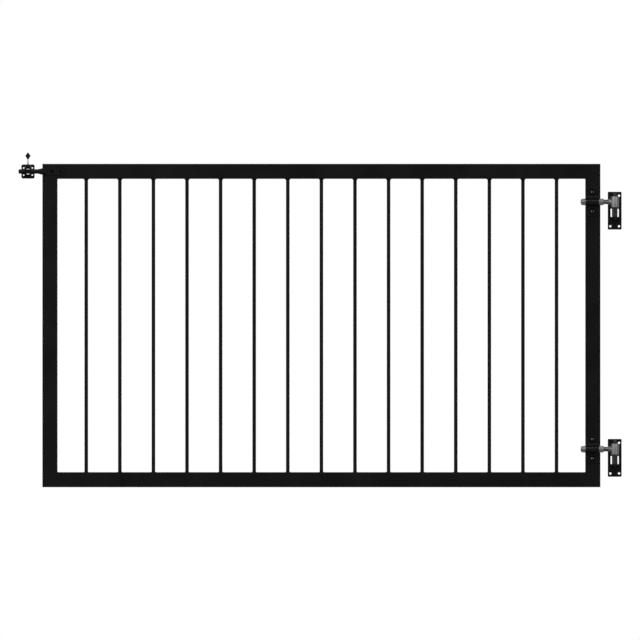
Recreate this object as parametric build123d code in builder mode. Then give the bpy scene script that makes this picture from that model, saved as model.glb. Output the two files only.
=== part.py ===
"""Steel garden gate: a welded tube leaf with round pickets, hung on two adjustable eye-bolt hinges,
and a lift latch on the other post that closes on the leaf's striker bar.

Millimetres, +Z up. X runs along the leaf, the latch at -X. The viewer stands at -Y. The origin lies on
the back face of the lower post plate, behind the lower hinge eye, so both posts end at the plane Y = 0.
"""

import os
from math import cos, radians, sin, sqrt

from build123d import *

# Leaf: square tube frame and round pickets
leaf_width = 1860.0
leaf_height = 1078.0
tube_size = 50.0
tube_wall = 2.0
tube_corner = 3.0
picket_count = 15
picket_diameter = 12.0
picket_end_gap = 96.0
weld_leg = 2.5

# Where the leaf hangs, seen from the hinge pins and the post faces
pin_standoff = 21.0
pin_to_leaf = 47.7
eye_axis_inset = 127.0

# Post plate: pressed plate with a tongue bent out of its window as a shelf for the pin
plate_width = 46.0
plate_height = 126.0
plate_thickness = 4.0
plate_corner = 3.0
plate_top = 33.8
plate_hole_diameter = 7.5
plate_hole_side = 14.5
plate_hole_high = 20.8
plate_hole_end = 11.0
window_width = 27.6
window_top = -22.9
window_bottom = -49.9
window_corner = 1.5
gusset_radius = 10.5
gusset_tip_radius = 1.0
gusset_apex = -70.2

# Hinge pin: shouldered, riveted through the shelf
pin_stem_diameter = 18.5
pin_diameter = 14.0
pin_top = 29.0
pin_crown = 4.0
rivet_tail_diameter = 10.0
rivet_head_diameter = 12.0
rivet_head_height = 3.0
pin_running_clearance = 0.08
pin_shoulder_clearance = 0.3

# Eye bolt, its nuts and washers
eye_diameter = 29.0
eye_height = 36.5
eye_edge = 1.5
neck_diameter = 20.5
neck_end = 23.5
neck_cone_length = 2.0
shank_diameter = 16.0
thread_clearance = 0.1
nut_across_flats = 22.0
nut_length = 13.3
nut_chamfer = 1.0
cap_hex_length = 9.5
cap_dome_diameter = 20.6
cap_dome_height = 5.2
cap_end_room = 1.0
shank_in_cap = 10.0
eye_washer_diameter = 23.0
eye_washer_thickness = 2.0
eye_washer_room = 2.0

# Strap: flat bar pressed round the eye bolt's shank and bolted to the stile
strap_width = 45.0
strap_height = 95.0
strap_thickness = 4.0
strap_shift = 2.0
strap_corner = 4.0
strap_root = 6.0
shank_clearance = 0.2
strap_bolt_offset = 32.0
strap_bolt_diameter = 10.0
strap_bolt_clearance = 0.5
strap_head_diameter = 18.0
strap_head_height = 5.5
head_dome_share = 0.8
strap_socket = 6.0
strap_socket_depth = 3.0
strap_nut_across_flats = 17.0
strap_nut_height = 9.0
strap_nut_crown_height = 2.5
strap_washer_diameter = 21.0
strap_washer_thickness = 2.0
strap_bolt_end = 3.0

# Striker: round bar drawn out to a flat tail, screwed to the top rail
striker_diameter = 15.0
striker_drop = 0.6
striker_reach = 79.5
striker_root_height = 22.0
striker_root_depth = 17.0
striker_cone_length = 15.0
striker_flatten_length = 17.0
striker_tail_length = 72.0
striker_tail_thickness = 5.0
striker_end_round = 3.5
striker_screw_first = 32.0
striker_screw_second = 60.4
striker_screw_diameter = 6.0
striker_screw_head = 12.0
striker_screw_sink = 3.0
striker_screw_length = 16.0
striker_screw_clearance = 0.2
striker_socket = 4.0
striker_socket_depth = 2.0

# Latch: plate with two cheeks, a pivoting pawl, a stem and a diamond knob
latch_to_leaf = 48.0
latch_plate_width = 44.0
latch_plate_height = 47.0
latch_plate_thickness = 3.0
latch_plate_corner = 5.5
latch_hole_diameter = 5.0
latch_hole_spacing_x = 29.0
latch_hole_spacing_z = 23.8
latch_window_diameter = 18.8
cheek_thickness = 3.0
cheek_gap = 12.6
cheek_top = 21.7
cheek_bottom = -13.0
cheek_reach = 36.0
cheek_corner = 4.0
throat_clearance = 0.4
throat_mouth = 2.5
throat_mouth_length = 5.0
pawl_side_clearance = 0.5
pivot_back = 8.5
pivot_up = 15.0
pivot_diameter = 5.0
pivot_head_diameter = 8.0
pivot_head_height = 1.6
pivot_running_clearance = 0.08
pawl_boss_radius = 5.5
pawl_top = 7.9
pawl_bar_clearance = 0.5
pawl_nose_thickness = 6.0
pawl_tip_thickness = 1.5
pawl_tip_angle = -14.0
pawl_slope_angle = 8.0
pawl_arm_angle = 1.0
stem_forward = 4.0
stem_base_diameter = 5.0
stem_top_diameter = 3.0
stem_tang_diameter = 4.0
stem_tang_length = 4.0
stem_tang_clearance = 0.1
knob_diameter = 17.6
knob_bottom = 40.9
knob_top = 63.7
knob_tip_diameter = 1.6
knob_waist = 1.2
knob_rim = 0.8
knob_socket_depth = 5.0

# Places that follow from the sizes above
stile_front = -pin_standoff + eye_washer_diameter / 2 + eye_washer_room
stile_back = stile_front + tube_size
tube_axis_y = stile_front + tube_size / 2
leaf_right = -pin_to_leaf
leaf_left = leaf_right - leaf_width
leaf_bottom = -eye_axis_inset
leaf_top = leaf_bottom + leaf_height
leaf_mid_z = (leaf_bottom + leaf_top) / 2
hinge_heights = {"lower": 0.0, "upper": leaf_top - eye_axis_inset}
eye_radius = eye_diameter / 2
eye_bottom = -eye_height / 2
plate_hole_low = plate_top - plate_height + plate_hole_end
strap_x = leaf_right - tube_size / 2 - strap_shift
strap_right = strap_x + strap_width / 2
strap_left = strap_x - strap_width / 2
shank_left = strap_left - eye_washer_thickness - shank_in_cap
bar_y = stile_front - striker_root_height / 2
bar_z = leaf_top - tube_size / 2 - striker_drop
latch_x = leaf_left - latch_to_leaf
pivot_y = bar_y + pivot_back
pivot_z = bar_z + pivot_up
stem_y = pivot_y - stem_forward
striker_screws_x = [leaf_left + striker_screw_first, leaf_left + striker_screw_second]


def front_plane(y, z):
    """A plane facing the viewer at depth y, with its local origin at X = 0 and height z."""
    return Plane(origin=(0, y, z), x_dir=(1, 0, 0), z_dir=(0, -1, 0))


def side_plane(x, y, z):
    """A plane facing +X, whose local axes are Y and Z."""
    return Plane(origin=(x, y, z), x_dir=(0, 1, 0), z_dir=(1, 0, 0))


def save(builder, name):
    """Label a finished sub-part and write it."""
    builder.part.label = name
    export_step(builder.part, f"parts/{name}.step")


os.makedirs("parts", exist_ok=True)


# Frame tubes: each is cut at both ends on the diagonal of the corner that it shares
def corner_plane(left, top):
    """The mitre of one leaf corner, its normal pointing to the rail's side."""
    inward = 1 if left else -1
    upward = 1 if top else -1
    corner_x = leaf_left if left else leaf_right
    corner_z = leaf_top if top else leaf_bottom
    return Plane(origin=(corner_x, 0, corner_z), z_dir=(inward, 0, upward))


def tube_section():
    """The hollow square section of the frame tube, drawn on the current sketch plane."""
    RectangleRounded(tube_size, tube_size, tube_corner)
    inner = tube_size - 2 * tube_wall
    RectangleRounded(inner, inner, tube_corner - tube_wall, mode=Mode.SUBTRACT)


for name, is_left in (("latch_stile", True), ("hinge_stile", False)):
    stile_x = leaf_left + tube_size / 2 if is_left else leaf_right - tube_size / 2
    with BuildPart() as stile:
        with BuildSketch(Plane((stile_x, tube_axis_y, leaf_bottom))):
            tube_section()
        extrude(amount=leaf_height)
        split(bisect_by=corner_plane(is_left, True), keep=Keep.BOTTOM)
        split(bisect_by=corner_plane(is_left, False), keep=Keep.BOTTOM)
        if not is_left:
            for height in hinge_heights.values():
                with BuildSketch(front_plane(stile_back, height)):
                    with Locations((strap_x, strap_bolt_offset), (strap_x, -strap_bolt_offset)):
                        Circle(strap_bolt_diameter / 2 + strap_bolt_clearance)
                extrude(amount=tube_size, mode=Mode.SUBTRACT)
    save(stile, name)

for name, is_top in (("top_rail", True), ("bottom_rail", False)):
    rail_z = leaf_top - tube_size / 2 if is_top else leaf_bottom + tube_size / 2
    with BuildPart() as rail:
        with BuildSketch(side_plane(leaf_left, tube_axis_y, rail_z)):
            tube_section()
        extrude(amount=leaf_width)
        split(bisect_by=corner_plane(True, is_top), keep=Keep.TOP)
        split(bisect_by=corner_plane(False, is_top), keep=Keep.TOP)
        if is_top:
            with BuildSketch(front_plane(stile_front, bar_z)):
                with Locations(*[(x, 0) for x in striker_screws_x]):
                    Circle(striker_screw_diameter / 2 + thread_clearance)
            extrude(amount=-tube_wall, mode=Mode.SUBTRACT)
    save(rail, name)

# Pickets: solid round bars standing between the rails, with a fillet weld round each end
picket_length = leaf_height - 2 * tube_size
first_picket_x = leaf_left + tube_size + picket_end_gap
last_picket_x = leaf_right - tube_size - picket_end_gap
picket_pitch = (last_picket_x - first_picket_x) / (picket_count - 1)
for index in range(picket_count):
    picket_x = first_picket_x + index * picket_pitch
    with BuildPart() as picket:
        with BuildSketch(Plane((picket_x, tube_axis_y, leaf_mid_z), x_dir=(1, 0, 0), z_dir=(0, -1, 0))):
            with BuildLine():
                Polyline(
                    (0, picket_length / 2),
                    (picket_diameter / 2 + weld_leg, picket_length / 2),
                    (picket_diameter / 2, picket_length / 2 - weld_leg),
                    (picket_diameter / 2, weld_leg - picket_length / 2),
                    (picket_diameter / 2 + weld_leg, -picket_length / 2),
                    (0, -picket_length / 2),
                    close=True,
                )
            make_face()
        revolve(axis=Axis((picket_x, tube_axis_y, 0), (0, 0, 1)))
    save(picket, f"picket_{index + 1:02d}")


# Hinges: the two are alike, each built about its own eye at height hinge_z
def hex_nut(plane, across_flats, length, bore):
    """A plain nut standing on the plane, with its corners turned off at both ends."""
    with BuildPart() as turned:
        with BuildSketch(plane):
            Circle(across_flats / sqrt(3))
        extrude(amount=length)
        chamfer(turned.edges().filter_by(GeomType.CIRCLE), nut_chamfer)
    with BuildPart() as nut:
        with BuildSketch(plane):
            RegularPolygon(across_flats / 2, 6, major_radius=False)
            Circle(bore / 2, mode=Mode.SUBTRACT)
        extrude(amount=length)
        add(turned.part, mode=Mode.INTERSECT)
    return nut


for side, hinge_z in hinge_heights.items():
    axis_y = -pin_standoff
    with BuildPart() as post_plate:
        with BuildSketch(front_plane(0, hinge_z)):
            with Locations((0, plate_top - plate_height / 2)):
                RectangleRounded(plate_width, plate_height, plate_corner)
            with Locations((plate_hole_side, plate_hole_high)):
                Circle(plate_hole_diameter / 2, mode=Mode.SUBTRACT)
            with Locations((plate_hole_side, plate_hole_low), (-plate_hole_side, plate_hole_low)):
                Circle(plate_hole_diameter / 2, mode=Mode.SUBTRACT)
            with Locations((0, (window_top + window_bottom) / 2)):
                RectangleRounded(window_width, window_top - window_bottom, window_corner, mode=Mode.SUBTRACT)
        extrude(amount=plate_thickness)
        # The tongue leaves the window's lower edge and lies level under the pin
        shelf_top = hinge_z + window_bottom
        shelf_reach = plate_thickness + window_top - window_bottom
        with BuildSketch(Plane.XY.offset(shelf_top)):
            with Locations((0, -shelf_reach / 2)):
                Rectangle(window_width - 2 * window_corner, shelf_reach)
        extrude(amount=-plate_thickness)
        fillet(post_plate.edges().filter_by(Axis.Z).group_by(Axis.Y)[0], strap_corner)
        with BuildSketch(Plane.XY.offset(shelf_top)):
            with Locations((0, axis_y)):
                Circle(rivet_tail_diameter / 2)
        extrude(amount=-plate_thickness, mode=Mode.SUBTRACT)
        # The gusset is a half cone pressed out of the plate under the shelf
        shelf_under = shelf_top - plate_thickness
        with BuildSketch(Plane((0, -plate_thickness, 0), x_dir=(1, 0, 0), z_dir=(0, -1, 0))):
            with BuildLine():
                Polyline(
                    (0, shelf_under),
                    (gusset_radius, shelf_under),
                    (gusset_tip_radius, hinge_z + gusset_apex),
                    (0, hinge_z + gusset_apex),
                    close=True,
                )
            make_face()
        gusset_axis = Axis((0, -plate_thickness, 0), (0, 0, -1))
        revolve(axis=gusset_axis, revolution_arc=180)
    save(post_plate, f"{side}_post_plate")

    with BuildPart() as hinge_pin:
        shoulder_z = eye_bottom - pin_shoulder_clearance
        with BuildSketch(Plane.XZ.offset(pin_standoff)):
            with BuildLine():
                Polyline(
                    (0, hinge_z + window_bottom - plate_thickness - rivet_head_height),
                    (rivet_head_diameter / 2, hinge_z + window_bottom - plate_thickness - rivet_head_height),
                    (rivet_head_diameter / 2, hinge_z + window_bottom - plate_thickness),
                    (rivet_tail_diameter / 2, hinge_z + window_bottom - plate_thickness),
                    (rivet_tail_diameter / 2, hinge_z + window_bottom),
                    (pin_stem_diameter / 2, hinge_z + window_bottom),
                    (pin_stem_diameter / 2, hinge_z + shoulder_z),
                    (pin_diameter / 2, hinge_z + shoulder_z),
                    (pin_diameter / 2, hinge_z + pin_top),
                    (0, hinge_z + pin_top),
                    close=True,
                )
            make_face()
        revolve(axis=Axis((0, axis_y, 0), (0, 0, 1)))
        fillet(hinge_pin.edges().group_by(Axis.Z)[-1], pin_crown)
        chamfer(hinge_pin.edges().group_by(Axis.Z)[0], rivet_head_height / 2)
    save(hinge_pin, f"{side}_hinge_pin")

    with BuildPart() as eye_bolt:
        with BuildSketch(Plane((0, axis_y, hinge_z + eye_bottom))):
            Circle(eye_radius)
        extrude(amount=eye_height)
        fillet(eye_bolt.edges().filter_by(GeomType.CIRCLE), eye_edge)
        with BuildSketch(side_plane(0, axis_y, hinge_z)):
            Circle(shank_diameter / 2)
        extrude(amount=shank_left)
        neck_plane = side_plane(neck_cone_length - neck_end, axis_y, hinge_z)
        with BuildSketch(neck_plane):
            Circle(neck_diameter / 2)
        with BuildSketch(side_plane(-neck_end, axis_y, hinge_z)):
            Circle(shank_diameter / 2)
        loft()
        with BuildSketch(neck_plane):
            Circle(neck_diameter / 2)
        extrude(amount=neck_end - neck_cone_length)
        with BuildSketch(Plane((0, axis_y, hinge_z + eye_bottom))):
            Circle(pin_diameter / 2 + pin_running_clearance)
        extrude(amount=eye_height, mode=Mode.SUBTRACT)
    save(eye_bolt, f"{side}_eye_bolt")

    with BuildPart() as strap:
        channel_inner = shank_diameter / 2 + shank_clearance
        channel_outer = channel_inner + strap_thickness
        flange_front = stile_front - strap_thickness
        with BuildSketch(side_plane(strap_x, 0, hinge_z)):
            with Locations(((stile_front + flange_front) / 2, 0)):
                Rectangle(strap_thickness, strap_height)
            with Locations(((stile_front + axis_y) / 2, 0)):
                Rectangle(stile_front - axis_y, 2 * channel_outer)
            with Locations((axis_y, 0)):
                Circle(channel_outer)
            with Locations(((stile_front + axis_y) / 2, 0)):
                Rectangle(stile_front - axis_y, 2 * channel_inner, mode=Mode.SUBTRACT)
            with Locations((axis_y, 0)):
                Circle(channel_inner, mode=Mode.SUBTRACT)
        extrude(amount=strap_width / 2, both=True)
        near = strap_thickness / 2
        long_edges = strap.edges().filter_by(Axis.X)
        roots = long_edges.filter_by_position(Axis.Y, flange_front - near, flange_front + near)
        fillet(roots.sort_by(lambda edge: abs(edge.center().Z - hinge_z))[:2], strap_root)
        corners = strap.edges().filter_by(Axis.Y)
        fillet(corners.group_by(Axis.Z)[0] + corners.group_by(Axis.Z)[-1], strap_corner)
        with BuildSketch(front_plane(stile_front, hinge_z)):
            with Locations((strap_x, strap_bolt_offset), (strap_x, -strap_bolt_offset)):
                Circle(strap_bolt_diameter / 2 + strap_bolt_clearance)
        extrude(amount=strap_thickness, mode=Mode.SUBTRACT)
    save(strap, f"{side}_hinge_strap")

    with BuildPart() as eye_washers:
        for washer_x in (strap_right, strap_left - eye_washer_thickness):
            with BuildSketch(side_plane(washer_x, axis_y, hinge_z)):
                Circle(eye_washer_diameter / 2)
                Circle(shank_diameter / 2 + shank_clearance, mode=Mode.SUBTRACT)
            extrude(amount=eye_washer_thickness)
    save(eye_washers, f"{side}_eye_washers")

    nut_plane = side_plane(strap_right + eye_washer_thickness, axis_y, hinge_z)
    eye_nut = hex_nut(nut_plane, nut_across_flats, nut_length, shank_diameter + 2 * thread_clearance)
    save(eye_nut, f"{side}_eye_nut")

    with BuildPart() as cap_nut:
        cap_x = strap_left - eye_washer_thickness
        dome_radius = cap_dome_diameter / 2
        cap_plane = side_plane(cap_x - cap_hex_length, axis_y, hinge_z)
        add(hex_nut(cap_plane, nut_across_flats, cap_hex_length, shank_diameter).part)
        with BuildSketch(front_plane(axis_y, hinge_z)):
            with BuildLine():
                dome_x = cap_x - cap_hex_length
                Line((dome_x, 0), (dome_x, dome_radius))
                RadiusArc(
                    (dome_x, dome_radius),
                    (dome_x - cap_dome_height, 0),
                    -(dome_radius**2 + cap_dome_height**2) / (2 * cap_dome_height),
                )
                Line((dome_x - cap_dome_height, 0), (dome_x, 0))
            make_face()
        revolve(axis=Axis((0, axis_y, hinge_z), (1, 0, 0)))
        with BuildSketch(side_plane(cap_x - shank_in_cap - cap_end_room, axis_y, hinge_z)):
            Circle(shank_diameter / 2 + thread_clearance)
        extrude(amount=shank_in_cap + cap_end_room, mode=Mode.SUBTRACT)
    save(cap_nut, f"{side}_cap_nut")

    # Two through bolts hold the strap: heads in front, washers and lock nuts behind the stile
    bolt_places = [(strap_x, strap_bolt_offset), (strap_x, -strap_bolt_offset)]
    strap_front = stile_front - strap_thickness
    nut_face = stile_back + strap_washer_thickness
    bolt_end_y = nut_face + strap_nut_height + strap_bolt_end
    with BuildPart() as strap_bolts:
        with BuildSketch(front_plane(strap_front, hinge_z)):
            with Locations(*bolt_places):
                Circle(strap_head_diameter / 2)
        extrude(amount=strap_head_height)
        rims = strap_bolts.edges().filter_by(GeomType.CIRCLE).group_by(Axis.Y)[0]
        fillet(rims, strap_head_height * head_dome_share)
        with BuildSketch(front_plane(strap_front, hinge_z)):
            with Locations(*bolt_places):
                Circle(strap_bolt_diameter / 2)
        extrude(amount=strap_front - bolt_end_y)
        with BuildSketch(front_plane(strap_front - strap_head_height, hinge_z)):
            with Locations(*bolt_places):
                RegularPolygon(strap_socket / 2, 6, major_radius=False)
        extrude(amount=-strap_socket_depth, mode=Mode.SUBTRACT)
    save(strap_bolts, f"{side}_strap_bolts")

    with BuildPart() as strap_washers:
        with BuildSketch(front_plane(stile_back, hinge_z)):
            with Locations(*bolt_places):
                Circle(strap_washer_diameter / 2)
                Circle(strap_bolt_diameter / 2 + strap_bolt_clearance, mode=Mode.SUBTRACT)
        extrude(amount=-strap_washer_thickness)
    save(strap_washers, f"{side}_strap_washers")

    with BuildPart() as strap_nuts:
        for bolt_x, bolt_z in bolt_places:
            nut_plane = Plane((bolt_x, nut_face, hinge_z + bolt_z), x_dir=(1, 0, 0), z_dir=(0, 1, 0))
            strap_hex_height = strap_nut_height - strap_nut_crown_height
            add(hex_nut(nut_plane, strap_nut_across_flats, strap_hex_height, strap_bolt_diameter).part)
            with BuildSketch(nut_plane):
                Circle(strap_nut_across_flats / 2 - nut_chamfer)
            extrude(amount=strap_nut_height)
            with BuildSketch(nut_plane):
                Circle(strap_bolt_diameter / 2 + thread_clearance)
            extrude(amount=strap_nut_height, mode=Mode.SUBTRACT)
    save(strap_nuts, f"{side}_strap_nuts")

# Striker: round in the latch, swelling to an oval root at the stile, then flattened along the top rail.
# It is forged with its root at X = 0, and then slid along the rail to the outer side of the latch stile
with BuildPart() as forged_bar:
    root_plane = side_plane(0, stile_front - striker_root_depth / 2, bar_z)
    tail_y = stile_front - striker_tail_thickness / 2
    tail_front = stile_front - striker_tail_thickness
    with BuildSketch(side_plane(-striker_reach, bar_y, bar_z)):
        Circle(striker_diameter / 2)
    extrude(amount=striker_reach - striker_cone_length)
    fillet(forged_bar.edges().group_by(Axis.X)[0], striker_end_round)
    with BuildSketch(side_plane(-striker_cone_length, bar_y, bar_z)):
        Circle(striker_diameter / 2)
    with BuildSketch(root_plane):
        Ellipse(striker_root_depth / 2, striker_root_height / 2)
    loft()
    with BuildSketch(root_plane):
        Ellipse(striker_root_depth / 2, striker_root_height / 2)
    with BuildSketch(side_plane(striker_flatten_length, tail_y, bar_z)):
        Ellipse(striker_tail_thickness / 2, striker_root_height / 2)
    loft()
    with BuildSketch(front_plane(stile_front, bar_z)):
        with Locations((striker_tail_length / 2, 0)):
            SlotOverall(striker_tail_length, striker_root_height)
        with Locations((striker_screw_first, 0), (striker_screw_second, 0)):
            Circle(striker_screw_diameter / 2 + striker_screw_clearance, mode=Mode.SUBTRACT)
    extrude(amount=striker_tail_thickness)
    for screw_along in (striker_screw_first, striker_screw_second):
        with BuildSketch(front_plane(tail_front, bar_z)):
            with Locations((screw_along, 0)):
                Circle(striker_screw_head / 2)
        with BuildSketch(front_plane(tail_front + striker_screw_sink, bar_z)):
            with Locations((screw_along, 0)):
                Circle(striker_screw_diameter / 2)
        loft(mode=Mode.SUBTRACT)

with BuildPart() as striker_bar:
    with Locations((leaf_left, 0, 0)):
        add(forged_bar.part)
save(striker_bar, "striker_bar")

# The screws sit in countersinks of the flat tail and cut their thread in the rail's front wall
with BuildPart() as striker_screws:
    for screw_x in striker_screws_x:
        with BuildSketch(Plane((screw_x, tail_front, bar_z), x_dir=(1, 0, 0), z_dir=(0, 0, 1))):
            with BuildLine():
                Polyline(
                    (0, 0),
                    (striker_screw_head / 2, 0),
                    (striker_screw_diameter / 2, striker_screw_sink),
                    (striker_screw_diameter / 2, striker_screw_length),
                    (0, striker_screw_length),
                    close=True,
                )
            make_face()
        revolve(axis=Axis((screw_x, tail_front, bar_z), (0, 1, 0)))
        with BuildSketch(front_plane(tail_front, bar_z)):
            with Locations((screw_x, 0)):
                RegularPolygon(striker_socket / 2, 6, major_radius=False)
        extrude(amount=-striker_socket_depth, mode=Mode.SUBTRACT)
save(striker_screws, "striker_screws")

# Latch case: a plate with four screw holes and a sight hole, and two cheeks with open throats
with BuildPart() as latch_case:
    throat_radius = striker_diameter / 2 + throat_clearance
    with BuildSketch(Plane((latch_x, 0, bar_z), x_dir=(1, 0, 0), z_dir=(0, -1, 0))):
        RectangleRounded(latch_plate_width, latch_plate_height, latch_plate_corner)
        Circle(latch_window_diameter / 2, mode=Mode.SUBTRACT)
        with GridLocations(latch_hole_spacing_x, latch_hole_spacing_z, 2, 2):
            Circle(latch_hole_diameter / 2, mode=Mode.SUBTRACT)
    extrude(amount=latch_plate_thickness)
    for cheek_x in (latch_x - cheek_gap / 2 - cheek_thickness, latch_x + cheek_gap / 2):
        with BuildSketch(side_plane(cheek_x, 0, bar_z)):
            with BuildLine():
                Polyline(
                    (-latch_plate_thickness, cheek_bottom),
                    (-latch_plate_thickness, cheek_top),
                    (-cheek_reach, cheek_top),
                    (-cheek_reach, throat_radius + throat_mouth),
                    (-cheek_reach + throat_mouth_length, throat_radius),
                    (bar_y, throat_radius),
                )
                ThreePointArc((bar_y, throat_radius), (bar_y + throat_radius, 0), (bar_y, -throat_radius))
                Polyline(
                    (bar_y, -throat_radius),
                    (-cheek_reach + throat_mouth_length, -throat_radius),
                    (-cheek_reach, -throat_radius - throat_mouth),
                    (-cheek_reach, cheek_bottom),
                    (-latch_plate_thickness, cheek_bottom),
                )
            make_face()
            with Locations((pivot_y, pivot_up)):
                Circle(pivot_diameter / 2, mode=Mode.SUBTRACT)
        extrude(amount=cheek_thickness)
    horns = latch_case.edges().filter_by(Axis.X).group_by(Axis.Y)[0]
    fillet(horns.group_by(Axis.Z)[-1], cheek_corner)
save(latch_case, "latch_case")

with BuildPart() as latch_pivot:
    head_x = latch_x - cheek_gap / 2 - cheek_thickness - pivot_head_height
    pivot_length = cheek_gap + 2 * cheek_thickness
    with BuildSketch(side_plane(head_x, pivot_y, pivot_z)):
        Circle(pivot_head_diameter / 2)
    extrude(amount=pivot_head_height)
    with BuildSketch(side_plane(head_x + pivot_head_height + pivot_length, pivot_y, pivot_z)):
        Circle(pivot_head_diameter / 2)
    extrude(amount=pivot_head_height)
    rims = latch_pivot.edges().filter_by(GeomType.CIRCLE)
    fillet(rims.group_by(Axis.X)[0] + rims.group_by(Axis.X)[-1], pivot_head_height / 2)
    with BuildSketch(side_plane(head_x + pivot_head_height, pivot_y, pivot_z)):
        Circle(pivot_diameter / 2)
    extrude(amount=pivot_length)
save(latch_pivot, "latch_pivot")


# Pawl, drawn lifted: its nose is an arc about the pivot, so it drops in front of the bar without rubbing
def about_pivot(radius, angle):
    """A point seen from the pivot: forward is the viewer's side, the angle rises from level."""
    return (-radius * cos(radians(angle)), radius * sin(radians(angle)))


pawl_width = cheek_gap - 2 * pawl_side_clearance
nose_inner = sqrt(pivot_back**2 + pivot_up**2) + striker_diameter / 2 + pawl_bar_clearance
nose_outer = nose_inner + pawl_nose_thickness
brow = (-sqrt(nose_outer**2 - pawl_top**2), pawl_top)
with BuildPart() as latch_pawl:
    with BuildSketch(side_plane(latch_x, pivot_y, pivot_z)):
        with BuildLine():
            tip_inside = about_pivot(nose_inner, pawl_tip_angle)
            tip_outside = about_pivot(nose_inner + pawl_tip_thickness, pawl_tip_angle)
            slope_top = about_pivot(nose_outer, pawl_slope_angle)
            arm_front = about_pivot(nose_inner, pawl_arm_angle)
            arm_back = about_pivot(pawl_boss_radius, pawl_arm_angle)
            Polyline(tip_inside, tip_outside, slope_top)
            RadiusArc(slope_top, brow, nose_outer)
            Polyline(brow, (pawl_boss_radius, pawl_top), (pawl_boss_radius, 0))
            ThreePointArc((pawl_boss_radius, 0), (0, -pawl_boss_radius), arm_back)
            Line(arm_back, arm_front)
            RadiusArc(arm_front, tip_inside, -nose_inner)
        make_face()
        Circle(pivot_diameter / 2 + pivot_running_clearance, mode=Mode.SUBTRACT)
    extrude(amount=pawl_width / 2, both=True)
    with BuildSketch(Plane((latch_x, stem_y, pivot_z + pawl_top))):
        Circle(stem_tang_diameter / 2 + stem_tang_clearance)
    extrude(amount=-stem_tang_length, mode=Mode.SUBTRACT)
save(latch_pawl, "latch_pawl")

# Stem and knob: a thin tapered rod screwed into the pawl, topped by a turned diamond
stem_bottom_z = pivot_z + pawl_top
knob_bottom_z = bar_z + knob_bottom
with BuildPart() as latch_stem:
    with BuildSketch(Plane((latch_x, stem_y, stem_bottom_z))):
        Circle(stem_base_diameter / 2)
    with BuildSketch(Plane((latch_x, stem_y, knob_bottom_z))):
        Circle(stem_top_diameter / 2)
    loft()
    with BuildSketch(Plane((latch_x, stem_y, stem_bottom_z - stem_tang_length + stem_tang_clearance))):
        Circle(stem_tang_diameter / 2)
    extrude(amount=stem_tang_length - stem_tang_clearance)
    with BuildSketch(Plane((latch_x, stem_y, knob_bottom_z))):
        Circle(stem_top_diameter / 2)
    extrude(amount=knob_socket_depth)
save(latch_stem, "latch_stem")

with BuildPart() as latch_knob:
    knob_middle = (knob_bottom + knob_top) / 2
    socket_radius = stem_top_diameter / 2 + stem_tang_clearance
    socket_end = knob_bottom + knob_socket_depth + stem_tang_clearance
    with BuildSketch(Plane((latch_x, stem_y, bar_z), x_dir=(1, 0, 0), z_dir=(0, -1, 0))):
        with BuildLine():
            Polyline(
                (0, socket_end),
                (socket_radius, socket_end),
                (socket_radius, knob_bottom),
                (socket_radius + knob_rim, knob_bottom),
                (knob_diameter / 2, knob_middle - knob_waist / 2),
                (knob_diameter / 2, knob_middle + knob_waist / 2),
                (knob_tip_diameter / 2, knob_top),
                (0, knob_top),
                close=True,
            )
        make_face()
    revolve(axis=Axis((latch_x, stem_y, 0), (0, 0, 1)))
save(latch_knob, "latch_knob")
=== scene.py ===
"""Looks of the steel garden gate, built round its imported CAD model.

Metres, +Z up, in the CAD frame: X runs along the leaf with the latch at -X, and the viewer stands at -Y.
"""

import math

import bmesh
import bpy
from mathutils import Matrix, Vector


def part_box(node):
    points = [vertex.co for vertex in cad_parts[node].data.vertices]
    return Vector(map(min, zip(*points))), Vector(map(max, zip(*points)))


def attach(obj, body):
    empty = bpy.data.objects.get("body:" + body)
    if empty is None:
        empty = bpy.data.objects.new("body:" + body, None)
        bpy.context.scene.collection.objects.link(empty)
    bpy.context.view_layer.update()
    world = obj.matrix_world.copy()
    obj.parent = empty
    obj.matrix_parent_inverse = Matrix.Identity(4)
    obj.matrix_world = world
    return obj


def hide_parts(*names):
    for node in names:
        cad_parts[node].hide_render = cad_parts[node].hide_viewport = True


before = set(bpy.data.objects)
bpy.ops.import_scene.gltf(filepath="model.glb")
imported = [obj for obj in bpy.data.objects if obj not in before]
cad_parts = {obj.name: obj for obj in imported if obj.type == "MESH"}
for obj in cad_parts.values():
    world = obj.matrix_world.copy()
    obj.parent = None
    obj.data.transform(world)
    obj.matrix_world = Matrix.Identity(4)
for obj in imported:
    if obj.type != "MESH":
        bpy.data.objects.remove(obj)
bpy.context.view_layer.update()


# Leaf frame: four lengths of square steel tube, mitred and welded at the corners and ground flush.
# The whole leaf is then powder coated satin black, which leaves a fine orange peel on every face.
def finish_nodes(name):
    """A new material with its node tree and its shader."""
    material = bpy.data.materials.new(name)
    material.use_nodes = True
    return material, material.node_tree, material.node_tree.nodes["Principled BSDF"]


def grain(tree, scale, detail):
    """Noise in the piece's own frame, so many lumps to the metre."""
    place = tree.nodes.new("ShaderNodeTexCoord")
    noise = tree.nodes.new("ShaderNodeTexNoise")
    noise.inputs["Scale"].default_value = scale
    noise.inputs["Detail"].default_value = detail
    tree.links.new(place.outputs["Object"], noise.inputs["Vector"])
    return noise.outputs["Fac"]


def between(tree, factor, low, high, start=0.35, end=0.65):
    """Grey that runs from low to high while the factor runs from start to end."""
    ramp = tree.nodes.new("ShaderNodeValToRGB")
    ramp.color_ramp.elements[0].position = start
    ramp.color_ramp.elements[1].position = end
    ramp.color_ramp.elements[0].color = (low, low, low, 1)
    ramp.color_ramp.elements[1].color = (high, high, high, 1)
    tree.links.new(factor, ramp.inputs["Fac"])
    return ramp.outputs["Color"]


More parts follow.
